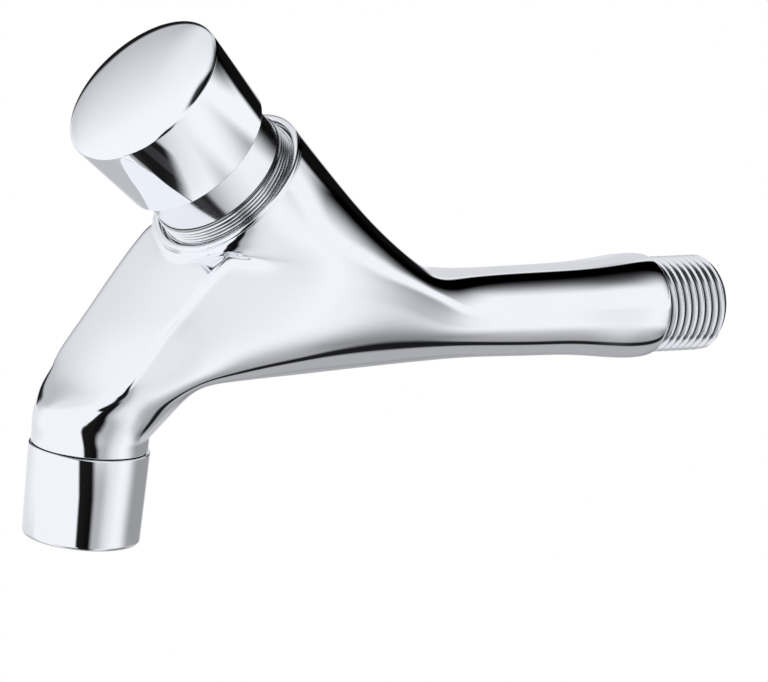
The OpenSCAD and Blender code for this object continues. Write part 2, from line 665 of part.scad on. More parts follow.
module cylinder_plate() color("ivory") on_axis() difference() {
    ring(cylinder_r - fit, stem_r + run_fit, plate_w, plate_w + plate_h);
    for (i = [0 : plate_holes - 1]) rotate([0, 0, i * 360 / plate_holes])
        translate([(stem_r + cylinder_r) / 2, 0, plate_w - over])
            cylinder(r = plate_hole_r, h = plate_h + 2 * over);
}

module plate_clip() color("silver") on_axis()
    clip(cylinder_r + plate_clip_bite, cylinder_r - plate_clip_ring, plate_w - plate_clip_h, plate_clip_h,
        plate_clip_gap);

// Return spring: one wire swept round its helix between well floor and cap
spring_low = well_w + wire_d / 2 + fit;
spring_high = ceiling_w - wire_d / 2 - fit;
turn_rings = 12;
wire_sides = 6;
spring_rings = coil_turns * turn_rings;

function coil_point(k) =
    let (a = k * 360 / turn_rings)
    [coil_r * cos(a), coil_r * sin(a), mix(spring_low, spring_high, k / spring_rings)];

function coil_ring(k) =
    let (a = k * 360 / turn_rings, c = coil_point(k))
    [for (j = [0 : wire_sides - 1])
        let (b = j * 360 / wire_sides)
        c + wire_d / 2 * [cos(b) * cos(a), cos(b) * sin(a), sin(b)]];

module return_spring() color("lightsteelblue") on_axis() {
    points = [for (k = [0 : spring_rings]) each coil_ring(k)];
    wall = [for (k = [0 : spring_rings - 1], j = [0 : wire_sides - 1])
        let (a = k * wire_sides + j, b = k * wire_sides + (j + 1) % wire_sides)
        each [[a, b, a + wire_sides], [b, b + wire_sides, a + wire_sides]]];
    first = [for (j = [wire_sides - 1 : -1 : 0]) j];
    last = [for (j = [0 : wire_sides - 1]) spring_rings * wire_sides + j];
    polyhedron(points, concat(wall, [first, last]), convexity = 10);
}

module nozzle_sleeve() color("gainsboro") at_nozzle() rotate_extrude() polygon(concat(
    [[spigot_r + fit, sleeve_top_z], [sleeve_top_r - edge_break, sleeve_top_z],
        [sleeve_top_r, sleeve_top_z - edge_break]],
    [for (c = corner(sleeve_foot_r, -sleeve_foot_z, sleeve_edge)) [c.x, -c.y]],
    [[aerator_r + fit, sleeve_foot_z], [aerator_r + fit, aerator_step_z],
        [spigot_r + fit, aerator_step_z]]));

module aerator_washer() color("dimgray") at_nozzle() ring(spigot_r, aerator_eye_r, aerator_top_z, spigot_z);

module aerator_cartridge() color("whitesmoke") at_nozzle() {
    inner_r = aerator_r - aerator_wall;
    eye_r = aerator_eye_r - aerator_ledge;
    bar_z = aerator_foot_z + edge_break;
    bar_h = grid_h - edge_break;
    lines = floor(inner_r / grid_cell);
    rotate_extrude() polygon([
        [eye_r, aerator_top_z], [spigot_r, aerator_top_z], [spigot_r, aerator_step_z],
        [aerator_r, aerator_step_z], [aerator_r, aerator_foot_z], [inner_r, aerator_foot_z],
        [inner_r, aerator_step_z], [eye_r, aerator_step_z]]);
    intersection() {
        translate([0, 0, aerator_foot_z]) cylinder(r = inner_r + eps, h = grid_h);
        for (i = [-lines : lines]) {
            translate([i * grid_cell - grid_bar / 2, -aerator_r, bar_z])
                cube([grid_bar, 2 * aerator_r, bar_h]);
            translate([-aerator_r, i * grid_cell - grid_bar / 2, bar_z])
                cube([2 * aerator_r, grid_bar, bar_h]);
        }
    }
}

module aerator_screen() color("silver") at_nozzle()
    ring(aerator_eye_r - fit, screen_eye_r, aerator_top_z, aerator_top_z + screen_h);

module inlet_strainer() color("silver") translate([strainer_x, 0, 0]) on_inlet() difference() {
    rotate_extrude() polygon([
        [0, -basket_l], [basket_r, -basket_l], [basket_r, 0], [strainer_seat_r - fit, 0],
        [strainer_seat_r - fit, strainer_flange_h], [basket_r - basket_wall, strainer_flange_h],
        [basket_r - basket_wall, basket_wall - basket_l], [0, basket_wall - basket_l]]);
    for (i = [0 : basket_slots - 1]) rotate([0, 0, i * 360 / basket_slots])
        translate([basket_r / 2, -slot_w / 2, slot_margin - basket_l])
            cube([basket_r, slot_w, basket_l - 2 * slot_margin]);
}

module strainer_washer() color("dimgray") translate([strainer_x + strainer_flange_h, 0, 0]) on_inlet()
    ring(strainer_seat_r - fit, basket_r, 0, strainer_washer_h);

// Push cap: a tapered cup with a domed face and a boss for the stem
cap_bore_r = neck_r + skirt_fit;

module push_cap() color("whitesmoke") on_axis() difference() {
    rotate_extrude() polygon(concat(
        [[boss_r, ceiling_w], [cap_bore_r, ceiling_w], [cap_bore_r, skirt_w + edge_break],
            [cap_bore_r + edge_break, skirt_w], [cap_foot_r - edge_break, skirt_w],
            [cap_foot_r, skirt_w + edge_break]],
        [for (a = [0 : 6 : 90]) [cap_face_r * cos(a), face_w + cap_dome * sin(a)]],
        [[0, boss_w], [boss_r, boss_w]]));
    translate([0, 0, boss_w - over]) cylinder(r = stem_r + fit, h = boss_h + over);
}

module cap_lock_nut() color("silver") on_axis() nut(lock_nut_af, stem_r + fit, lock_nut_w, lock_nut_h);

module stem() color("goldenrod") on_axis() rotate_extrude() polygon([
    [0, stem_foot_w], [stem_foot_r, stem_foot_w], [stem_foot_r, washer_w], [stem_r, washer_w],
    [stem_r, stem_collar_w], [stem_collar_r, stem_collar_w], [stem_collar_r, piston_w], [stem_r, piston_w],
    [stem_r, piston_clip_w], [stem_r - stem_clip_bite, piston_clip_w],
    [stem_r - stem_clip_bite, piston_clip_w + piston_clip_h], [stem_r, piston_clip_w + piston_clip_h],
    [stem_r, stem_top_w], [0, stem_top_w]]);

module piston() color("ivory") on_axis() ring(cylinder_r - piston_gap, stem_r + fit, piston_w, lip_w);

module piston_lip_seal() color("dimgray") on_axis() rotate_extrude() polygon([
    [stem_r + fit, lip_w], [cylinder_r - 0.4 * lip_h, lip_w], [cylinder_r - run_fit, lip_w + 0.7 * lip_h],
    [cylinder_r - run_fit, lip_w + lip_h], [cylinder_r - 0.6 * lip_h, lip_w + lip_h],
    [cylinder_r - lip_h, lip_w + 0.45 * lip_h], [stem_r + 1.2 * lip_h, lip_w + 0.45 * lip_h],
    [stem_r + 0.9 * lip_h, lip_w + lip_h], [stem_r + fit, lip_w + lip_h]]);

module piston_clip() color("silver") on_axis()
    clip(stem_collar_r, stem_r - stem_clip_bite + fit, piston_clip_w, piston_clip_h, stem_r);

module washer_holder() color("goldenrod") on_axis() rotate_extrude() polygon([
    [stem_foot_r + fit, holder_w], [holder_r, holder_w], [holder_r, washer_w + holder_grip],
    [washer_r + fit, washer_w + holder_grip], [washer_r + fit, washer_w], [stem_foot_r + fit, washer_w]]);

module valve_washer() color("dimgray") on_axis()
    ring(washer_r, stem_r + fit, washer_w, washer_w + washer_h);

module washer_nut() color("goldenrod") on_axis()
    nut(foot_nut_af, stem_foot_r + fit, foot_nut_w, foot_nut_h);

body();
valve_seat();
seat_o_ring();
bonnet();
bonnet_o_ring();
stem_bush();
stem_o_ring();
bush_clip();
cylinder_plate();
plate_clip();
return_spring();
nozzle_sleeve();
aerator_washer();
aerator_screen();
aerator_cartridge();
inlet_strainer();
strainer_washer();
push_cap();
cap_lock_nut();
stem();
piston();
piston_lip_seal();
piston_clip();
washer_holder();
valve_washer();
washer_nut();
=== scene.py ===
"""Push timed tap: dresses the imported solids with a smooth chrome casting, cut threads and finishes."""
import math

import bmesh
import bpy
from mathutils import Matrix, Vector


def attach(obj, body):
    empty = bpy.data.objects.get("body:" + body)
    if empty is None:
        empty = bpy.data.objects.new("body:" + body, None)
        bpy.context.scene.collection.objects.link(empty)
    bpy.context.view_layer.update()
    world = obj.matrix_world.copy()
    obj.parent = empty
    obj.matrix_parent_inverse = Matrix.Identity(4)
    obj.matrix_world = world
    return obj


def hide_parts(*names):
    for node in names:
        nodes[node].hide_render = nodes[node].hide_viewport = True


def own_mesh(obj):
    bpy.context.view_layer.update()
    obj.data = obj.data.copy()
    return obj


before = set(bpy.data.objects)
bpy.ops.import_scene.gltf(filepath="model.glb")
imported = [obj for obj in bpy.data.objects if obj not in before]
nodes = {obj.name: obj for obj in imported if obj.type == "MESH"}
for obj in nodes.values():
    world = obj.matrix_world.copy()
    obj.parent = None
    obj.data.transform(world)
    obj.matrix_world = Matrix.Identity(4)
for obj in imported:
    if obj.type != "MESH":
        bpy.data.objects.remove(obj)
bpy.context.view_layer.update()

# Body casting
# One hollow brass casting: a slim tail from the wall, a housing for the valve and a spout that turns down.
# It is sand cast, ground smooth by hand and then plated with bright chrome.
MM = 0.001
ROUND = math.sqrt(0.5)
PUSH_TILT = math.radians(48.3)
PUSH_X = -78.7


def on_axis(height, side=0.0):
    """A point of the middle plane: height along the push axis, side across it towards the wall."""
    return Vector((PUSH_X - height * math.sin(PUSH_TILT) + side * math.cos(PUSH_TILT), 0,
                   height * math.cos(PUSH_TILT) + side * math.sin(PUSH_TILT)))


def in_plane(x, z):
    return Vector((x, 0, z))


def corner_between(middle, rim, half_width, fullness):
    """The skin halfway from flank to rim: ROUND for a round section, near 1 for a square one."""
    return middle.lerp(rim, fullness) - Vector((0, half_width * fullness, 0))


def section(up, middle, down, half_width, up_full=ROUND, down_full=ROUND, up_corner=None, down_corner=None):
    """Half a section of a limb, from its upper rim over the near flank to its lower rim."""
    up_corner = up_corner or corner_between(middle, up, half_width, up_full)
    down_corner = down_corner or corner_between(middle, down, half_width, down_full)
    return [up, up_corner, middle - Vector((0, half_width, 0)), down_corner, down]


def round_section(middle, up_way, radius):
    return section(middle + up_way * radius, middle, middle - up_way * radius, radius)


def grow(bm, row, points):
    """Extrudes a row of edges by one row of faces and lays the new row on the points."""
    edges = [bm.edges.get(pair) for pair in zip(row, row[1:])]
    made = bmesh.ops.extrude_edge_only(bm, edges=edges)["geom"]
    fresh = {v for v in made if isinstance(v, bmesh.types.BMVert)}
    new_row = [next(e.other_vert(v) for e in v.link_edges if e.other_vert(v) in fresh) for v in row]
    for vert, point in zip(new_row, points):
        vert.co = point
    return new_row


def skin_point(vert, crease):
    """Where the subdivided skin will pass under this vertex of the cage."""
    sharp = sorted(vert.link_edges, key=lambda e: -e[crease])[:2]
    count = len(vert.link_edges)
    beside = {e.other_vert(vert) for e in vert.link_edges}
    near = sum((v.co for v in beside), Vector())
    far = sum((v.co for f in vert.link_faces for v in f.verts if v is not vert and v not in beside), Vector())
    smooth = (vert.co * count * count + near * 4 + far) / (count * (count + 5))
    along = (vert.co * 4 + sharp[0].other_vert(vert).co + sharp[1].other_vert(vert).co) / 6
    if sharp[1][crease] == 0:
        return smooth
    # a crease c is sharp for 10 c c levels of subdivision, and each level keeps a quarter of the smoothing
    levels = 10 * (sharp[0][crease] ** 2 + sharp[1][crease] ** 2) / 2
    return smooth.lerp(along, 1 - 0.25 ** levels)


def settle(bm, crease, rounds=16):
    """Pushes the cage out until its subdivided skin passes through the sections."""
    aims = {v: v.co.copy() for v in bm.verts}
    for _ in range(rounds):
        moves = {v: aims[v] - skin_point(v, crease) for v in bm.verts}
        for vert, move in moves.items():
            vert.co += move


def add_piece(bm, name, body, material, replaced=(), sharp_deg=40):
    """Turns a mesh in millimetres into a finished piece that rides on its body."""
    bmesh.ops.recalc_face_normals(bm, faces=bm.faces[:])
    bmesh.ops.scale(bm, vec=(MM, MM, MM), verts=bm.verts[:])
    for face in bm.faces:
        face.smooth = True
    for edge in bm.edges:
        edge.smooth = len(edge.link_faces) == 2 and edge.calc_face_angle() < math.radians(sharp_deg)
    mesh = bpy.data.meshes.new(name)
    bm.to_mesh(mesh)
    bm.free()
    piece = bpy.data.objects.new(name, mesh)
    bpy.context.scene.collection.objects.link(piece)
    mesh.materials.append(material)
    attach(piece, body)
    if replaced:
        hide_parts(*replaced)
    return piece


class Tone:
    """A shader value: an expression on it adds Math nodes to its tree."""

    def __init__(self, socket):
        self.socket = socket

    @staticmethod
    def node(tree, kind, settings=None, values=None):
        """One node of a tree, its settings first and then the values or links of its sockets."""
        made = tree.nodes.new(kind)
        for key, value in (settings or {}).items():
            setattr(made, key, value)
        for key, value in (values or {}).items():
            if isinstance(value, Tone):
                tree.links.new(value.socket, made.inputs[key])
            else:
                made.inputs[key].default_value = value
        return made

    def math(self, operation, first, second):
        tree = self.socket.id_data
        made = self.node(tree, "ShaderNodeMath", {"operation": operation}, {0: first, 1: second})
        return Tone(made.outputs[0])

    def __add__(self, other):
        return self.math("ADD", self, other)

    def __radd__(self, other):
        return self.math("ADD", other, self)

    def __sub__(self, other):
        return self.math("SUBTRACT", self, other)

    def __rsub__(self, other):
        return self.math("SUBTRACT", other, self)

    def __mul__(self, other):
        return self.math("MULTIPLY", self, other)

    def __rmul__(self, other):
        return self.math("MULTIPLY", other, self)

    def __truediv__(self, other):
        return self.math("DIVIDE", self, other)


def new_material(name):
    """An empty node material: its tree, its shader and its Object coordinates."""
    material = bpy.data.materials.new(name)
    material.use_nodes = True
    tree = material.node_tree
    tree.nodes.clear()
    shader = Tone.node(tree, "ShaderNodeBsdfPrincipled")
    output = Tone.node(tree, "ShaderNodeOutputMaterial")
    tree.links.new(shader.outputs[0], output.inputs[0])
    place = Tone(Tone.node(tree, "ShaderNodeTexCoord").outputs["Object"])
    return material, tree, shader, place


def noise(tree, place, scale, detail):
    made = Tone.node(tree, "ShaderNodeTexNoise", {}, {"Vector": place, "Scale": scale, "Detail": detail})
    return Tone(made.outputs["Fac"])


def colour_between(tree, factor, low, high):
    low, high = (end if isinstance(end, Tone) else (*end, 1) for end in (low, high))
    made = Tone.node(tree, "ShaderNodeMix", {"data_type": "RGBA"}, {0: factor, 6: low, 7: high})
    return Tone(made.outputs[2])


def feed(shader, **sockets):
    """Links tones to the shader's sockets, and sets plain numbers and colours on them."""
    for key, value in sockets.items():
        socket = shader.inputs[key.replace("_", " ")]
        if isinstance(value, Tone):
            socket.id_data.links.new(value.socket, socket)
        else:
            socket.default_value = value


# marks on metal: the scale of each pattern, how deep grinding goes in metres, and the colour of the shade
# painted into thread roots
DRYING_SCALE = 38.0
SPECK_SCALE = 900.0
GRINDING_SCALE = 120.0
GRINDING_DEPTH = 0.0002
ROOT_SHADE_COLOUR = (0.035, 0.035, 0.04)
ROOT_SHADE_DULLS = 0.3


def metal(name, low, high, shine, smear, swell, painted_shade=None):
    """Bright metal: drying marks change its gloss, it swells a little where it was ground, painted shade
    darkens and dulls it.
    """
    material, tree, shader, place = new_material(name)
    marks = noise(tree, place, DRYING_SCALE, 3.0) * 0.7 + noise(tree, place, SPECK_SCALE, 1.0) * 0.3
    ground = noise(tree, place, GRINDING_SCALE, 1.0)
    bump = Tone.node(tree, "ShaderNodeBump", {},
                     {"Height": ground, "Strength": swell, "Distance": GRINDING_DEPTH})
    colour = colour_between(tree, marks, low, high)
    gloss = marks * smear + shine
    if painted_shade:
        # painted shade: the mask darkens the colour towards near black and makes it rougher
        shade_mask = painted_shade(tree, place)
        colour = colour_between(tree, shade_mask, colour, ROOT_SHADE_COLOUR)
        gloss = gloss + shade_mask * ROOT_SHADE_DULLS
    feed(shader, Metallic=1.0, Base_Color=colour, Roughness=gloss, Normal=Tone(bump.outputs[0]))
    return material


CAST_CHROME = metal("cast_chrome", (0.90, 0.91, 0.93), (0.96, 0.97, 0.98), 0.02, 0.05, 0.02)

# driving sizes as in the solids, except where the skin ends under the mouth's lip; the sections
# below are shares of them
WAIST_R, WAIST_X = 9.8, 40.0
TAIL_END_R, SHOULDER_FILLET = 11.4, 2.6
HOUSING_R = 18.2
BELLY_Z = 10.9
MOUTH_W, COLLAR_W = 46.7, 45.7
MOUTH_SKIN_R, MOUTH_SKIN_W = 18.5, 46.0
FACE_DROP, FACE_FALL = 2.05, 0.06
FACE_W = MOUTH_W - FACE_DROP
RIDGE_HALF, RIDGE_FOOT_HALF = 15.7, 14.3
SPOUT_HALF, BEND_HALF = 17.0, 14.9
SPOUT_END = in_plane(-140.9, -24.7)
SPOUT_R = 12.4
REACH = PUSH_X - SPOUT_END.x
UP = Vector((0, 0, 1))
WALLWARD = Vector((1, 0, 0))
MOUTHWARD = (on_axis(1) - on_axis(0)).normalized()
CROSSWARD = (on_axis(0, 1) - on_axis(0)).normalized()


def from_axis(along, rise):
    """A point beside the push axis, in radii of the housing along the tail and of its waist upwards."""
    return in_plane(PUSH_X + HOUSING_R * along, WAIST_R * rise)


def from_nozzle(along, rise):
    """A point beside the spout's end, in radii of the spout along the tail and of the housing upwards."""
    return SPOUT_END + in_plane(SPOUT_R * along, HOUSING_R * rise)


def on_face(side, half=0.0, sink=0.0):
    """A point of the spout's flat upper face, which falls a little from the mouth towards the nozzle."""
    return on_axis(FACE_W - sink + FACE_FALL * (side + HOUSING_R), side) - Vector((0, half, 0))


def between(low, high, share):
    return low + (high - low) * share


HUB = from_axis(-1.06, 0.815)
crotch_top = from_axis(0.6, 1.505)
crotch_low = in_plane(HUB.x + HOUSING_R / 18, -BELLY_Z)
crotch_left = on_face(-1.21 * HOUSING_R)
TAIL_FLARE = ((0.825, 0.075), (0.51, 0.3), (0.225, 0.955))
SHOULDER_TURN = ((1, 0), (0.3, 0.3), (0, 1))
tail_sections = [
    section(from_axis(1.03, 1.095), from_axis(0.31, 0.265), from_axis(-0.015, -1.035),
            0.78 * HOUSING_R, 0.76, 0.74),
    section(from_axis(1.465, 1), from_axis(1.11, 0.06), from_axis(0.865, -1.005),
            0.615 * HOUSING_R, 0.72, 0.72),
    section(from_axis(1.935, 1), from_axis(1.77, 0.01), from_axis(1.66, -0.98), 1.02 * WAIST_R),
    *[round_section(in_plane(-WAIST_X * along, 0), UP, between(WAIST_R, TAIL_END_R, flare))
      for along, flare in TAIL_FLARE],
    *[round_section(in_plane(-SHOULDER_FILLET * along, 0), UP, TAIL_END_R - SHOULDER_FILLET * inward)
      for along, inward in SHOULDER_TURN]]
upper_w = between(FACE_W, COLLAR_W, 0.5)
housing_sections = [
    section(on_axis(0.33 * COLLAR_W, 0.945 * HOUSING_R), on_axis(0.6 * COLLAR_W),
            on_axis(FACE_W, -1.115 * HOUSING_R), HOUSING_R, 0.74,
            down_corner=on_axis(FACE_W, -0.785 * HOUSING_R) - Vector((0, 0.79 * HOUSING_R, 0))),
    section(on_axis(0.665 * COLLAR_W, 0.975 * HOUSING_R), on_axis(0.81 * COLLAR_W),
            on_axis(upper_w, -1.05 * HOUSING_R), HOUSING_R,
            down_corner=on_axis(upper_w, -0.74 * HOUSING_R) - Vector((0, 0.74 * HOUSING_R, 0))),
    round_section(on_axis(MOUTH_SKIN_W), CROSSWARD, MOUTH_SKIN_R)]
spout_sections = [
    section(on_face(-0.5 * REACH), from_nozzle(1.765, 1.3), from_nozzle(2.72, 0.763),
            SPOUT_HALF, down_full=0.76,
            up_corner=on_face(-0.426 * REACH, RIDGE_HALF, 0.022 * HOUSING_R)),
    section(on_face(-0.675 * REACH), from_nozzle(1.08, 1), from_nozzle(1.8, 0.761),
            between(SPOUT_HALF, BEND_HALF, 0.3), down_full=0.76,
            up_corner=on_face(-0.61 * REACH, between(RIDGE_HALF, RIDGE_FOOT_HALF, 0.75), 0.027 * HOUSING_R)),
    section(on_face(-0.87 * REACH), from_nozzle(0.515, 0.67), from_nozzle(1.5, 0.625),
            BEND_HALF, down_full=0.74,
            up_corner=on_face(-0.82 * REACH, RIDGE_FOOT_HALF, 0.066 * HOUSING_R)),
    section(from_nozzle(-0.945, 0.45), from_nozzle(0.135, 0.38), from_nozzle(1.095, 0.24),
            1.055 * SPOUT_R, 0.76, 0.72),
    round_section(from_nozzle(0, 0.155), -WALLWARD, 1.008 * SPOUT_R),
    round_section(SPOUT_END, -WALLWARD, SPOUT_R)]
# how crisp the ridge is from the mouth down to the spout's end
RIDGE_CREASES = (0.3, 0.55, 0.75, 0.7, 0.55, 0.35, 0.15)

# bored steps inside each limb: distance along it and radius
INLET_BORE_R, INLET_BORE_X = 6.0, -66.0
MOUTH_BORE_R, SHOULDER_W = 16.05, 35.7
CHAMBER_R, SEAT_FLOOR_W = 13.0, 20.5
SEAT_BORE_R, SEAT_FOOT_W = 9.05, 14.7
VALVE_ROOM_R, VALVE_ROOM_W = 8.25, 1.0
NUT_ROOM_R, NUT_ROOM_W = 5.62, -2.2
SPIGOT_R, SPIGOT_Z = 11.0, -32.7
NOZZLE_WAY_R, NOZZLE_WAY_Z = 7.5, -18.6
tail_bore = [round_section(in_plane(x, 0), UP, INLET_BORE_R) for x in (0.0, INLET_BORE_X)]
valve_bore = [round_section(on_axis(w), CROSSWARD, r) for w, r in (
    (MOUTH_SKIN_W, MOUTH_BORE_R), (SHOULDER_W, MOUTH_BORE_R), (SHOULDER_W, CHAMBER_R),
    (SEAT_FLOOR_W, CHAMBER_R), (SEAT_FLOOR_W, SEAT_BORE_R), (SEAT_FOOT_W, SEAT_BORE_R),
    (SEAT_FOOT_W, VALVE_ROOM_R), (VALVE_ROOM_W, VALVE_ROOM_R), (VALVE_ROOM_W, NUT_ROOM_R),
    (NUT_ROOM_W, NUT_ROOM_R))]
spigot = [round_section(in_plane(SPOUT_END.x, z), -WALLWARD, r) for z, r in (
    (SPOUT_END.z, SPIGOT_R), (SPIGOT_Z, SPIGOT_R), (SPIGOT_Z, NOZZLE_WAY_R), (NOZZLE_WAY_Z, NOZZLE_WAY_R))]

cage = bmesh.new()
crease = cage.edges.layers.float.new("crease_edge")
hub = cage.verts.new(HUB - Vector((0, HOUSING_R, 0)))
arcs = {}
for arc_name, corner, rim in (
        ("top", corner_between(HUB, crotch_top, 0.935 * HOUSING_R, 0.8), crotch_top),
        ("low", corner_between(HUB, crotch_low, HOUSING_R, 0.76), crotch_low),
        ("left", on_face(-0.85 * HOUSING_R, RIDGE_HALF, 0.022 * HOUSING_R), crotch_left)):
    arc = [cage.verts.new(corner), cage.verts.new(rim)]
    cage.edges.new((hub, arc[0]))
    cage.edges.new(arc)
    arcs[arc_name] = arc
ridge = [arcs["left"][0]]
for first, second, skin, bore in (
        ("top", "low", tail_sections, tail_bore),
        ("top", "left", housing_sections, valve_bore),
        ("left", "low", spout_sections, spigot)):
    row = [*reversed(arcs[first]), hub, *arcs[second]]
    for points in skin:
        row = grow(cage, row, points)
        if skin is spout_sections:
            ridge.append(row[1])
        if skin is housing_sections and len(ridge) < 3:
            ridge.insert(0, row[3])
    for points in bore:
        for pair in zip(row, row[1:]):
            cage.edges.get(pair)[crease] = 1.0
        row = grow(cage, row, points)
    for pair in zip(row, row[1:]):
        cage.edges.get(pair)[crease] = 1.0
for pair, sharpness in zip(zip(ridge, ridge[1:]), RIDGE_CREASES):
    cage.edges.get(pair)[crease] = sharpness
bmesh.ops.mirror(cage, geom=cage.verts[:] + cage.edges[:] + cage.faces[:], axis="Y", merge_dist=0.001)
bmesh.ops.holes_fill(cage, edges=[e for e in cage.edges if e.is_boundary], sides=0)
settle(cage, crease)
casting = add_piece(cage, "body_casting", "casing", CAST_CHROME, ["body"], 180)
SKIN_LEVELS = 4
rounding = casting.modifiers.new("rounding", "SUBSURF")
rounding.levels = rounding.render_levels = SKIN_LEVELS
smoothed = casting.evaluated_get(bpy.context.evaluated_depsgraph_get())
casting.data = bpy.data.meshes.new_from_object(smoothed)
casting.modifiers.clear()

# Mouth collar
# The turned rim of the casting's mouth, where the bonnet screws in: a low lip with rolled edges
# and a bevel that leads the thread in.
PUSH_FRAME = Matrix.Translation(on_axis(0)) @ Matrix(
    (CROSSWARD, Vector((0, 1, 0)), MOUTHWARD)).transposed().to_4x4()
NEAR = 0.001
EDGE_SEGMENTS = 5


def turned(profile, steps=128):
    """Spins a profile of (radius, height, edge radius) round Z and rounds the edges that ask for it."""
    bm = bmesh.new()
    points = [bm.verts.new((radius, 0, height)) for radius, height, _ in profile]
    pairs = list(zip(points, points[1:]))
    if profile[0][0] > 0:
        pairs.append((points[-1], points[0]))
    lines = [bm.edges.new(pair) for pair in pairs]
    bmesh.ops.spin(bm, geom=points + lines, axis=(0, 0, 1), angle=math.tau, steps=steps, use_merge=True)
    bmesh.ops.remove_doubles(bm, verts=bm.verts[:], dist=0.0001)
    bmesh.ops.recalc_face_normals(bm, faces=bm.faces[:])
    for radius, height, edge_radius in profile:
        if edge_radius:
            on_ring = {v for v in bm.verts
                       if abs(v.co.z - height) < NEAR and abs(v.co.xy.length - radius) < NEAR}
            ring = [e for e in bm.edges if on_ring.issuperset(e.verts)]
            bmesh.ops.bevel(bm, geom=ring, offset=edge_radius, segments=EDGE_SEGMENTS, profile=0.5,
                            affect="EDGES", material=-1)
    return bm


LIP_R = 18.48
LIP_LOW_W = 45.95
LIP_FOOT_R, LIP_FOOT_W = 17.4, 45.2
LEAD_IN_R, LEAD_IN_W = 17.2, 45.7
collar = turned([
    (MOUTH_BORE_R, LIP_FOOT_W, 0), (LIP_FOOT_R, LIP_FOOT_W, 0), (LIP_R, LIP_LOW_W, 0), (LIP_R, MOUTH_W, 0.65),
    (LEAD_IN_R, MOUTH_W, 0.2), (MOUTH_BORE_R, LEAD_IN_W, 0.1)])
collar.transform(PUSH_FRAME)
add_piece(collar, "mouth_collar", "casing", CAST_CHROME, ["body"])

# Inlet thread
# A half-inch pipe thread cut into the end of the tail before plating, with a chamfered end
# and a seat inside it for the strainer.


def step(value, low, high):
    """0 below low, 1 above high and smooth between."""
    tree = value.socket.id_data
    return Tone(Tone.node(tree, "ShaderNodeMapRange", {"interpolation_type": "SMOOTHSTEP"},
                          {0: value, 1: low, 2: high, 3: 0.0, 4: 1.0}).outputs[0])


def thread_root_shade(placing, lit_r, shaded_r):
    """Painted shade in a thread: none out at its crests, full at its roots."""
    def painted_shade(tree, place):
        split = Tone.node(tree, "ShaderNodeSeparateXYZ", {}, {0: place})
        x, y, z = (Tone(s) for s in split.outputs)
        u, v = (x * axis.x + y * axis.y + z * axis.z - placing.translation.dot(axis) * MM
                for axis in (placing.col[0].xyz, placing.col[1].xyz))
        radius = x.math("SQRT", u * u + v * v, 0.0) / MM
        return 1 - step(radius, shaded_r, lit_r)
    return painted_shade


FLANK_ANGLE = math.radians(27.5)
THREAD_SOFT = 0.12


def helix(root, crest, pitch, low, high, steps=72):
    """The open skin of a right-hand thread round Z, trimmed square at both ends."""
    flank = (crest - root) * math.tan(FLANK_ANGLE)
    flat = (pitch - 2 * flank) / 2
    soft = THREAD_SOFT * (crest - root)
    bm = bmesh.new()
    places = ((0, root), (flat / 2 - soft / 2, root), (flat / 2 + soft / 2, root + soft),
              (flat / 2 + flank / 2, (root + crest) / 2), (flat / 2 + flank - soft / 2, crest - soft),
              (flat / 2 + flank + soft / 2, crest))
    run = [*places, (pitch / 2, crest), *[(pitch - z, r) for z, r in reversed(places)]]
    points = [bm.verts.new((r, 0, low - 2 * pitch + z)) for z, r in run]
    lines = [bm.edges.new(pair) for pair in zip(points, points[1:])]
    bmesh.ops.spin(bm, geom=points + lines, axis=(0, 0, 1), angle=math.tau, steps=steps,
                   dvec=(0, 0, pitch / steps))
    turn = bm.verts[:] + bm.edges[:] + bm.faces[:]
    for lift in range(1, math.ceil((high - low) / pitch) + 3):
        copy = bmesh.ops.duplicate(bm, geom=turn)["geom"]
        copied = [v for v in copy if isinstance(v, bmesh.types.BMVert)]
        bmesh.ops.translate(bm, vec=(0, 0, lift * pitch), verts=copied)
    bmesh.ops.remove_doubles(bm, verts=bm.verts[:], dist=0.002)
    for level, side in ((low, -1), (high, 1)):
        bmesh.ops.bisect_plane(bm, geom=bm.verts[:] + bm.edges[:] + bm.faces[:], dist=0.0001,
                               plane_co=(0, 0, level), plane_no=(0, 0, side), clear_outer=True)
    return bm


def threaded(root, crest, pitch, low, high, chamfer, bore):
    """A threaded sleeve; its bore runs from the high end to the low one by steps of (radius, height)."""
    bm = helix(root, crest, pitch, low, high)
    for vert in bm.verts:
        limit = crest - max(0.0, vert.co.z - high + chamfer)
        radius = vert.co.xy.length
        if radius > limit:
            vert.co.xy *= limit / radius
    ends = [[e for e in bm.edges if e.is_boundary and all(abs(v.co.z - level) < NEAR for v in e.verts)]
            for level in (low, high)]
    rim = ends[1]
    for radius, height in bore:
        made = bmesh.ops.extrude_edge_only(bm, edges=rim)["geom"]
        for vert in (v for v in made if isinstance(v, bmesh.types.BMVert)):
            vert.co = (*(vert.co.xy.normalized() * radius), height)
        rim = [e for e in made if isinstance(e, bmesh.types.BMEdge) and e.is_boundary]
    bmesh.ops.bridge_loops(bm, edges=rim + ends[0])
    return bm


TAIL_FRAME = Matrix.Rotation(math.radians(90), 4, "Y")
THREAD_R = 10.4775
THREAD_DEPTH = 1.162
THREAD_PITCH = 1.814
THREAD_L = 15.5
THREAD_LOW = -1.2
THREAD_CHAMFER = 1.6
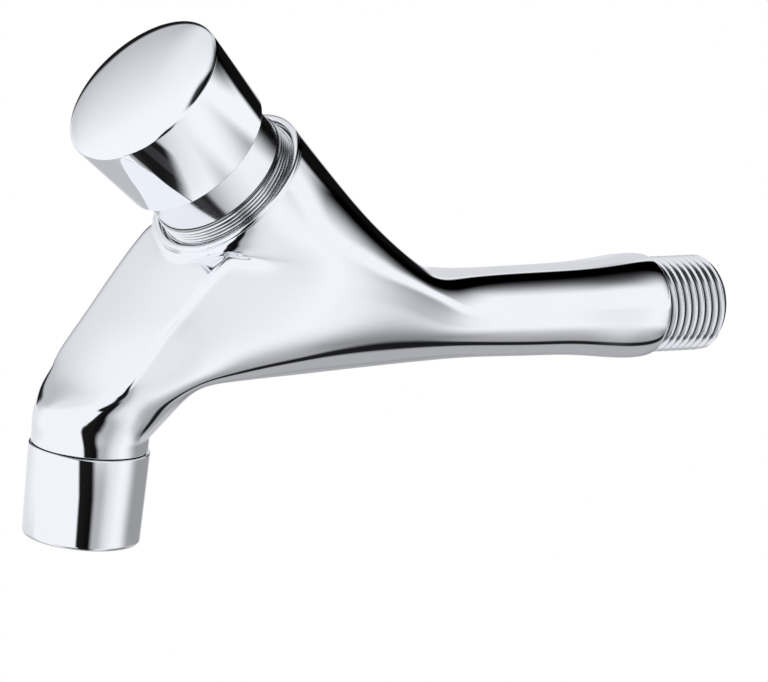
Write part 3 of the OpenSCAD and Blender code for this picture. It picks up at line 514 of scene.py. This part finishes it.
# how far below the crest the painted shade of the thread roots begins
THREAD_LIT_DEPTH = 0.45
STRAINER_SEAT_R, STRAINER_SEAT_X = 8.0, 12.5
THREAD_CHROME = metal("thread_chrome", (0.74, 0.75, 0.77), (0.86, 0.87, 0.88), 0.06, 0.12, 0.05,
                      thread_root_shade(TAIL_FRAME, THREAD_R - THREAD_LIT_DEPTH, THREAD_R - THREAD_DEPTH))
inlet = threaded(THREAD_R - THREAD_DEPTH, THREAD_R, THREAD_PITCH, THREAD_LOW, THREAD_L, THREAD_CHAMFER,
                 [(STRAINER_SEAT_R, THREAD_L), (STRAINER_SEAT_R, STRAINER_SEAT_X),
                  (INLET_BORE_R, STRAINER_SEAT_X), (INLET_BORE_R, THREAD_LOW)])
inlet.transform(TAIL_FRAME)
add_piece(inlet, "inlet_thread", "casing", THREAD_CHROME, ["body"])

# Inlet strainer
# A pressed steel basket held in the end of the thread by a rubber washer; it keeps grit out of the valve.
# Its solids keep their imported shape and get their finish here.


def dress(material, *names):
    for name in names:
        nodes[name].material_slots[0].material = material


MOTTLE_SCALE = 140.0
GRAIN_SCALE = 2600.0
GRAIN_DEPTH = 0.0001


def moulded(name, low, high, rough, grain):
    """Moulded rubber or plastic: slightly mottled, with the fine grain of its mould."""
    material, tree, shader, place = new_material(name)
    mottle = noise(tree, place, MOTTLE_SCALE, 4.0)
    grit = noise(tree, place, GRAIN_SCALE, 2.0)
    bump = Tone.node(tree, "ShaderNodeBump", {}, {"Height": grit, "Strength": grain, "Distance": GRAIN_DEPTH})
    feed(shader, Base_Color=colour_between(tree, mottle, low, high), Roughness=mottle * 0.2 + rough,
         Normal=Tone(bump.outputs[0]))
    return material


CLIP_STEEL = metal("clip_steel", (0.50, 0.51, 0.53), (0.66, 0.67, 0.68), 0.16, 0.2, 0.06)
SEAL_RUBBER = moulded("seal_rubber", (0.010, 0.010, 0.011), (0.032, 0.032, 0.034), 0.5, 0.3)
dress(CLIP_STEEL, "inlet_strainer")
dress(SEAL_RUBBER, "strainer_washer")

# Valve seat
# A turned brass ring pressed to the housing's floor; the washer closes it from below, and a seal ring
# keeps water from passing round it.
TURNED_BRASS = metal("turned_brass", (0.52, 0.36, 0.14), (0.74, 0.56, 0.27), 0.14, 0.22, 0.05)
dress(TURNED_BRASS, "valve_seat")
dress(SEAL_RUBBER, "seat_o_ring")

# Bonnet
# A turned brass plug, chromed where it shows: its neck guides the push cap, a fine thread screws it
# into the mouth, and inside are the spring's well and the damping cylinder.
BONNET_CHROME = metal("bonnet_chrome", (0.88, 0.89, 0.91), (0.95, 0.96, 0.97), 0.09, 0.1, 0.02)
NECK_R, NECK_W, NECK_TOP_W = 15.4, 49.7, 66.5
NECK_STEP_W = NECK_W + 0.3
CORE_R = 15.3
BARREL_R, BARREL_W = 12.9, 29.5
SEAL_GROOVE_R, SEAL_GROOVE_LOW, SEAL_GROOVE_HIGH = 11.1, 31.0, 33.4
WELL_R, WELL_W = 9.4, 57.5
BUSH_CLIP_R, BUSH_CLIP_W = 5.8, 56.7
BUSH_R, STEM_SEAL_W = 5.05, 51.15
STEM_HOLE_R = 3.3
CYLINDER_R, CYLINDER_TOP_W = 10.5, 49.65
PLATE_CLIP_R, PLATE_CLIP_LOW, PLATE_CLIP_HIGH = 11.05, 30.0, 31.0
bonnet = turned([
    (CYLINDER_R, BARREL_W, 0.2), (BARREL_R, BARREL_W, 0.3), (BARREL_R, SEAL_GROOVE_LOW, 0),
    (SEAL_GROOVE_R, SEAL_GROOVE_LOW, 0), (SEAL_GROOVE_R, SEAL_GROOVE_HIGH, 0),
    (BARREL_R, SEAL_GROOVE_HIGH, 0), (BARREL_R, SHOULDER_W, 0),
    (CORE_R, SHOULDER_W, 0), (CORE_R, NECK_STEP_W, 0), (NECK_R, NECK_STEP_W, 0),
    (NECK_R, NECK_TOP_W, 0.4), (WELL_R, NECK_TOP_W, 0.3), (WELL_R, WELL_W, 0), (BUSH_CLIP_R, WELL_W, 0),
    (BUSH_CLIP_R, BUSH_CLIP_W, 0), (BUSH_R, BUSH_CLIP_W, 0), (BUSH_R, STEM_SEAL_W, 0),
    (STEM_HOLE_R, STEM_SEAL_W, 0), (STEM_HOLE_R, CYLINDER_TOP_W, 0), (CYLINDER_R, CYLINDER_TOP_W, 0),
    (CYLINDER_R, PLATE_CLIP_HIGH, 0), (PLATE_CLIP_R, PLATE_CLIP_HIGH, 0), (PLATE_CLIP_R, PLATE_CLIP_LOW, 0),
    (CYLINDER_R, PLATE_CLIP_LOW, 0)])
bonnet.transform(PUSH_FRAME)
add_piece(bonnet, "bonnet_turned", "casing", BONNET_CHROME, ["bonnet"])
BONNET_THREAD_R, BONNET_ROOT_R = 16.0, 15.35
BONNET_PITCH, BONNET_CHAMFER = 0.8, 0.5
BONNET_THREAD_W = 36.0
THREAD_INNER_R = 15.0
# how far below the crest the painted shade of the bonnet's thread roots begins
BONNET_LIT_DEPTH = 0.2
bonnet_thread = threaded(BONNET_ROOT_R, BONNET_THREAD_R, BONNET_PITCH, BONNET_THREAD_W, NECK_W,
                         BONNET_CHAMFER, [(THREAD_INNER_R, NECK_W), (THREAD_INNER_R, BONNET_THREAD_W)])
bonnet_thread.transform(PUSH_FRAME)
# chrome with painted shade in its thread roots
ROOT_SHADED_CHROME = metal("root_shaded_chrome", (0.86, 0.87, 0.89), (0.94, 0.95, 0.96), 0.04, 0.08, 0.02,
                      thread_root_shade(PUSH_FRAME, BONNET_THREAD_R - BONNET_LIT_DEPTH, BONNET_ROOT_R))
add_piece(bonnet_thread, "bonnet_thread", "casing", ROOT_SHADED_CHROME, ["bonnet"])

# Guides and damper
# White acetal mouldings in the bonnet: the stem's bush, the plate that closes the damping cylinder and the
# piston in it. Steel clips hold them, and rubber rings seal the stem and the bonnet.
ACETAL = moulded("acetal", (0.70, 0.69, 0.66), (0.84, 0.83, 0.80), 0.28, 0.12)
dress(ACETAL, "stem_bush", "cylinder_plate", "piston")
dress(CLIP_STEEL, "bush_clip", "plate_clip", "piston_clip")
dress(SEAL_RUBBER, "bonnet_o_ring", "stem_o_ring", "piston_lip_seal")

# Stem and valve
# The brass stem is turned from bar and runs from the cap down to the valve, where a cup holds
# the rubber washer and a nut on the stem's foot holds the cup.
dress(TURNED_BRASS, "stem", "washer_holder", "washer_nut")
dress(SEAL_RUBBER, "valve_washer")

# Return spring
# Six turns of drawn steel wire, wound cold. It stands between the floor of the bonnet's well and the cap,
# and pushes the cap back up.
SPRING_STEEL = metal("spring_wire", (0.42, 0.42, 0.43), (0.58, 0.58, 0.59), 0.22, 0.2, 0.1)
COIL_R = 8.0
WIRE_R = 0.65
COIL_LOW, COIL_HIGH = 58.2, 73.55
COIL_TURNS = 6
COIL_STEPS = 48
WIRE_SIDES = 14
spring = bmesh.new()
wire_end = Matrix.Translation((COIL_R, 0, COIL_LOW)) @ Matrix.Rotation(math.radians(90), 4, "X")
bmesh.ops.create_circle(spring, cap_ends=True, segments=WIRE_SIDES, radius=WIRE_R, matrix=wire_end)
bmesh.ops.spin(spring, geom=spring.verts[:] + spring.edges[:], axis=(0, 0, 1),
               angle=math.tau * COIL_TURNS, steps=COIL_STEPS * COIL_TURNS,
               dvec=(0, 0, (COIL_HIGH - COIL_LOW) / (COIL_STEPS * COIL_TURNS)))
bmesh.ops.holes_fill(spring, edges=[e for e in spring.edges if e.is_boundary], sides=0)
spring.transform(PUSH_FRAME)
coil = add_piece(spring, "spring_coil", "casing", SPRING_STEEL, ["return_spring"])
on_axis(57.5) * MM
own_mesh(coil)

# Push cap
# A turned brass cup, plated bright, that tapers to its skirt; its face is a low dome that rolls over
# at the rim. A nut below its boss locks it on the stem.
CAP_CHROME = metal("cap_chrome", (0.92, 0.93, 0.95), (0.97, 0.98, 0.99), 0.015, 0.04, 0.012)
CAP_R = 18.64
CAP_FOOT_R = 17.1
SKIRT_W = 58.0
RIM_W = 76.85
DOME = 2.59
CAP_BORE_R = 15.8
CEILING_W = 74.25
BOSS_R, BOSS_W = 6.4, 68.85
CAP_STEM_R = 3.05
CAP_STEPS = 160
DOME_STEPS = 24
RIM_CROWDING = 1.6
# the dome's rings crowd towards the rim, where it curves most
dome_angles = [math.radians(90) * (k / DOME_STEPS) ** RIM_CROWDING for k in range(DOME_STEPS, -1, -1)]
dome = [(CAP_R * math.cos(a) if k else 0, RIM_W + DOME * math.sin(a), 0) for k, a in enumerate(dome_angles)]
cap = turned([*dome, (CAP_FOOT_R, SKIRT_W, 0.25), (CAP_BORE_R, SKIRT_W, 0.2), (CAP_BORE_R, CEILING_W, 0.3),
              (BOSS_R, CEILING_W, 0.2), (BOSS_R, BOSS_W, 0.2), (CAP_STEM_R, BOSS_W, 0.1),
              (CAP_STEM_R, CEILING_W, 0), (0, CEILING_W, 0)], CAP_STEPS)
cap.transform(PUSH_FRAME)
add_piece(cap, "push_cap_turned", "plunger", CAP_CHROME, ["push_cap"])
dress(CLIP_STEEL, "cap_lock_nut")

# Nozzle sleeve
# A turned brass sleeve, plated bright and screwed on the spout's spigot.
# A ledge inside it holds the aerator against its washer.
SLEEVE_CHROME = metal("sleeve_chrome", (0.90, 0.91, 0.92), (0.96, 0.97, 0.98), 0.02, 0.05, 0.015)
SLEEVE_TOP_R, SLEEVE_TOP_Z = 12.85, -24.95
SLEEVE_FOOT_R, SLEEVE_FOOT_Z = 12.5, -44.75
SLEEVE_BORE_R = 11.05
LEDGE_R, LEDGE_Z = 10.05, -36.7
sleeve = turned([
    (SLEEVE_BORE_R, SLEEVE_TOP_Z, 0), (SLEEVE_TOP_R, SLEEVE_TOP_Z, 0.3), (SLEEVE_FOOT_R, SLEEVE_FOOT_Z, 0.9),
    (LEDGE_R, SLEEVE_FOOT_Z, 0.2), (LEDGE_R, LEDGE_Z, 0), (SLEEVE_BORE_R, LEDGE_Z, 0)])
sleeve.transform(Matrix.Translation((SPOUT_END.x, 0, 0)))
add_piece(sleeve, "nozzle_sleeve_turned", "casing", SLEEVE_CHROME, ["nozzle_sleeve"])

# Aerator
# A moulded grid under a woven steel screen, sealed to the spigot by a rubber washer.
# It breaks up the jet; the holes of the weave are left to its material.
SCREEN_PITCH = 0.0007
SCREEN_DEPTH = 0.0002
screen_wire, screen_tree, screen_shader, screen_place = new_material("woven_screen")
screen_split = Tone.node(screen_tree, "ShaderNodeSeparateXYZ", {}, {0: screen_place})


def strand(axis):
    """1 in the middle of a wire and 0 in the middle of a hole, along one axis of the weave."""
    wave = Tone(screen_split.outputs[axis]) * (math.pi / SCREEN_PITCH)
    return 1 - wave.math("ABSOLUTE", wave.math("SINE", wave, 0.0), 0.0)


warp, weft = strand("X"), strand("Y")
weave = warp.math("MAXIMUM", warp, weft)
weave_bump = Tone.node(screen_tree, "ShaderNodeBump", {},
                       {"Height": weave, "Strength": 0.6, "Distance": SCREEN_DEPTH})
# the colour darkens from the middle of each wire towards the holes: painted shade on the wires' rounded sides
feed(screen_shader, Metallic=1.0, Alpha=step(weave, 0.3, 0.4), Normal=Tone(weave_bump.outputs[0]),
     Roughness=weave * -0.15 + 0.4,
     Base_Color=colour_between(screen_tree, weave, (0.25, 0.25, 0.26), (0.62, 0.62, 0.64)))
GRID_PLASTIC = moulded("grid_plastic", (0.30, 0.31, 0.33), (0.42, 0.43, 0.45), 0.34, 0.15)
dress(screen_wire, "aerator_screen")
dress(GRID_PLASTIC, "aerator_cartridge")
dress(SEAL_RUBBER, "aerator_washer")

# Camera and studio
# A long lens from the photographer's place, and a world that is plain white to it. The chrome sees
# a white tent there: bright walls with a black flag on the wall side, an open top, a gap for the lens
# and a grey table below.
CAMERA_AZIMUTH = math.radians(35.04)
CAMERA_HEIGHT = math.radians(12.86)
CAMERA_ROLL = math.radians(6.04)
CAMERA_DISTANCE = 1.6
CAMERA_TARGET = Vector((-0.06871, 0, -0.0054))
FOCAL_PIXELS = 7458.43
IMAGE_WIDTH = 768
SENSOR_MM = 36.0

back = Vector((-math.sin(CAMERA_AZIMUTH) * math.cos(CAMERA_HEIGHT),
               -math.cos(CAMERA_AZIMUTH) * math.cos(CAMERA_HEIGHT), math.sin(CAMERA_HEIGHT)))
right = Vector((math.cos(CAMERA_AZIMUTH), -math.sin(CAMERA_AZIMUTH), 0))
above = back.cross(right)
rolled_right = right * math.cos(CAMERA_ROLL) + above * math.sin(CAMERA_ROLL)
rolled_above = above * math.cos(CAMERA_ROLL) - right * math.sin(CAMERA_ROLL)
lens = bpy.data.cameras.new("camera")
lens.sensor_width = SENSOR_MM
lens.sensor_fit = "HORIZONTAL"
lens.lens = FOCAL_PIXELS / IMAGE_WIDTH * SENSOR_MM
camera = bpy.data.objects.new("camera", lens)
camera.matrix_world = Matrix.Translation(CAMERA_TARGET + back * CAMERA_DISTANCE) @ Matrix(
    (rolled_right, rolled_above, back)).transposed().to_4x4()
bpy.context.scene.collection.objects.link(camera)
bpy.context.scene.camera = camera
bpy.context.scene.view_settings.view_transform = "Standard"

world = bpy.data.worlds.new("studio")
world.use_nodes = True
bpy.context.scene.world = world
sky = world.node_tree
sky.nodes.clear()
way = Tone(Tone.node(sky, "ShaderNodeTexCoord").outputs["Generated"])
way_x, way_y, way_z = (Tone(s) for s in Tone.node(sky, "ShaderNodeSeparateXYZ", {}, {0: way}).outputs)


def band(value, low, high, soft):
    """1 between low and high, fading over soft at both ends."""
    return step(value, low - soft, low + soft) * (1 - step(value, high - soft, high + soft))


def above_zero(value):
    return value.math("MAXIMUM", value, 0.0)


# where a reflected ray goes, in degrees: 0 is towards the wall, -90 is the side that faces the lens
turn = way_y.math("ARCTAN2", way_y, way_x) * math.degrees(1)
rise = way_z.math("ARCSINE", way_z, 0.0) * math.degrees(1)
# the black flag on the wall side, and the tent's wall that darkens towards it
flag_turn = turn - above_zero(10 - rise) * 0.8
flag = step(flag_turn, 4, 12) * (1 - step(flag_turn, 36, 40)) * step(rise, -5, 0)
flag_fade = step(turn, -40, 10) * (1 - step(turn, 36, 40)) * step(rise, 9, 15)
# the open top, which comes lower over the flag and keeps higher behind, and the dark rear of the roof
top_rise = rise + band(turn, -58, 40, 22) * 10 - band(turn, 85, 150, 20) * 10
top = step(top_rise, 46, 74)
roof = step(turn.math("ABSOLUTE", turn, 0.0), 125, 145) * step(rise, 51, 58)
# the opening behind the tap, the dimmer wall round it and the strip between it and the flag
rear_turn = turn + above_zero(rise - 17) * 0.8
rear_gap = step(turn, 56, 62) * (1 - step(rear_turn, 86, 92)) * step(rise, -2, 1)
rear_fade = step(turn, 60, 72) * (1 - step(turn, 88, 120)) * band(rise, 5, 36, 5)
rear_soft = step(turn, 60, 72) * (1 - step(turn, 90, 130))
wall_strip = band(turn, 41, 57, 3) * step(rise, -10, 0)
# the lower part of the tent below the flag, and its front wall up to the lens
low_wall = step(turn, -42, -15) * (1 - step(turn, 28, 52)) * band(rise, -41, -1, 4)
low_band = step(turn, -52, -12) * (1 - step(turn, 28, 52)) * band(rise, -23, -1, 4)
front_wall = band(turn, -118, -62, 8) * (1 - step(rise, 0, 14))
front_low = band(turn, -118, -76, 10) * (1 - step(rise, -14, -4))
front_corner = band(turn, -116, -86, 8) * (1 - step(rise, -12, 0))
# the gap for the lens
lens_turn = turn + above_zero(rise + 15) * 0.75 - above_zero(-15 - rise) * 0.2
lens_gap = step(lens_turn, -136, -131) * (1 - step(lens_turn, -110, -100)) * band(rise, -58, 31, 7)
# the table: the shade above it, the dark line of its edge, its grey top, its paler rear,
# two dark boards right below the tap with a greyer one between, and a dark joint
wall_side = step(way_x, 0.3, 0.5)
below_front = (step(way_y, -1.0, -0.3) * (1 - step(way_y, -0.1, -0.05)) * wall_side
               * (1 - step(rise, -38, -22)))
table_edge = band(way_y, -0.25, -0.07, 0.04) * wall_side * (1 - step(rise, -40, -34))
table_top = (step(way_y, -0.09, -0.05) * (1 - step(rise - above_zero(turn - 20) * 0.6, -42, -34))
             * (1 - step(turn, 52, 64)))
table_rear = band(turn, 56, 130, 6) * (1 - step(rise, -28, -14))
boards = band(way_y, -0.57, -0.06, 0.03) * (1 - step(way_x, 0.05, 0.15)) * (1 - step(rise, -53, -50))
grey_board = band(way_y, -0.46, -0.31, 0.02)
table_joint = band(way_y, -0.06, 0.16, 0.03) * step(way_x, 0.05, 0.15) * (1 - step(rise, -66, -62))
# each of them takes its share of the light away
light = 1.0
for panel, share in (
        (flag, 0.995), (flag_fade, 1.0), (top, 0.93), (roof, 0.95), (rear_gap, 0.98), (rear_fade, 0.35),
        (rear_soft, 0.15), (wall_strip, 0.25), (low_wall, 0.4), (low_band, 0.42), (front_wall, 0.11),
        (front_low, 0.22), (front_corner, 0.3), (lens_gap, 0.99), (below_front, 0.6), (table_edge, 0.97),
        (table_top, 0.55), (table_rear, 0.36), (boards, 0.98 - grey_board * 0.06), (table_joint, 0.9)):
    light = light * (1 - panel * share)
seen = Tone(Tone.node(sky, "ShaderNodeLightPath").outputs["Is Camera Ray"])
brightness = light + (1 - light) * seen
TENT_TINT, WHITE = (0.945, 0.955, 1.0), (1, 1, 1)
tint = colour_between(sky, seen, TENT_TINT, WHITE)
backdrop = Tone.node(sky, "ShaderNodeBackground", {}, {"Strength": brightness, "Color": tint})
sky_output = Tone.node(sky, "ShaderNodeOutputWorld")
sky.links.new(backdrop.outputs[0], sky_output.inputs[0])
